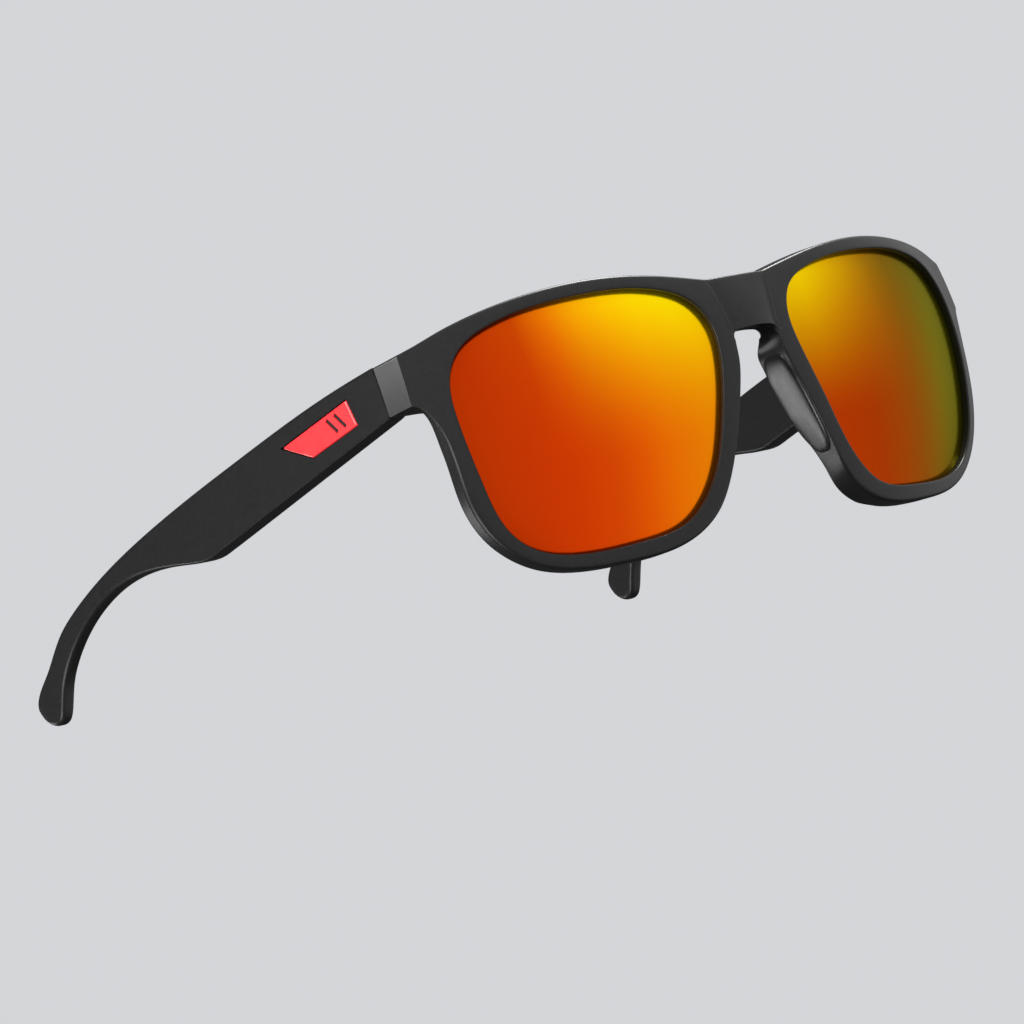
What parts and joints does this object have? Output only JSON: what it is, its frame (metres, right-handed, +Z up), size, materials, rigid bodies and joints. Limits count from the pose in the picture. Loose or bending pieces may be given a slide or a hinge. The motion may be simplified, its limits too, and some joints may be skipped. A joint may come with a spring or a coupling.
{
  "type": "full-rim wrap sunglasses",
  "caption": "Matte black full-rim wrap sunglasses with mirrored orange lenses, moulded nose pads and folding temples with inlaid badges.",
  "frame": {"origin": "middle of the underside of the open glasses' box, on the surface that they rest on", "axes": "-Y the way the glasses face, +X the wearer's left, +Z up; temples run to +Y"},
  "size_m": [0.1602, 0.1648, 0.0542],
  "materials": {
    "frame_plastic": "fine satin moulded nylon",
    "temple_plastic": "fine satin moulded nylon",
    "mirror_lens": "tinted polycarbonate with an orange multi-layer mirror coat",
    "soft_rubber": "smooth semi-gloss soft rubber",
    "hinge_steel": "stamped stainless steel",
    "screw_steel": "turned stainless steel",
    "badge_red": "red lacquered plate"
  },
  "bodies": {
    "front": {"front_frame": "frame_plastic", "lens_left": "mirror_lens", "nose_pad_left": "soft_rubber", "front_hinge_left": "hinge_steel", "front_hinge_screws_left": "screw_steel", "hinge_screw_left": "screw_steel", "lens_right": "mirror_lens", "nose_pad_right": "soft_rubber", "front_hinge_right": "hinge_steel", "front_hinge_screws_right": "screw_steel", "hinge_screw_right": "screw_steel"},
    "left_arm": {"temple_left": "temple_plastic", "temple_hinge_left": "hinge_steel", "temple_hinge_screws_left": "screw_steel", "badge_left": "badge_red"},
    "right_arm": {"temple_right": "temple_plastic", "temple_hinge_right": "hinge_steel", "temple_hinge_screws_right": "screw_steel", "badge_right": "badge_red"}
  },
  "joints": [
    {"name": "left_temple_fold", "type": "hinge", "parent": "front", "child": "left_arm", "pos_m": [0.0666, -0.05724, 0.04201], "axis": [0, 0, 1], "range_deg": [0, 94.2]},
    {"name": "right_temple_fold", "type": "hinge", "parent": "front", "child": "right_arm", "pos_m": [-0.0666, -0.05724, 0.04201], "axis": [0, 0, -1], "range_deg": [0, 87]}
  ]
}
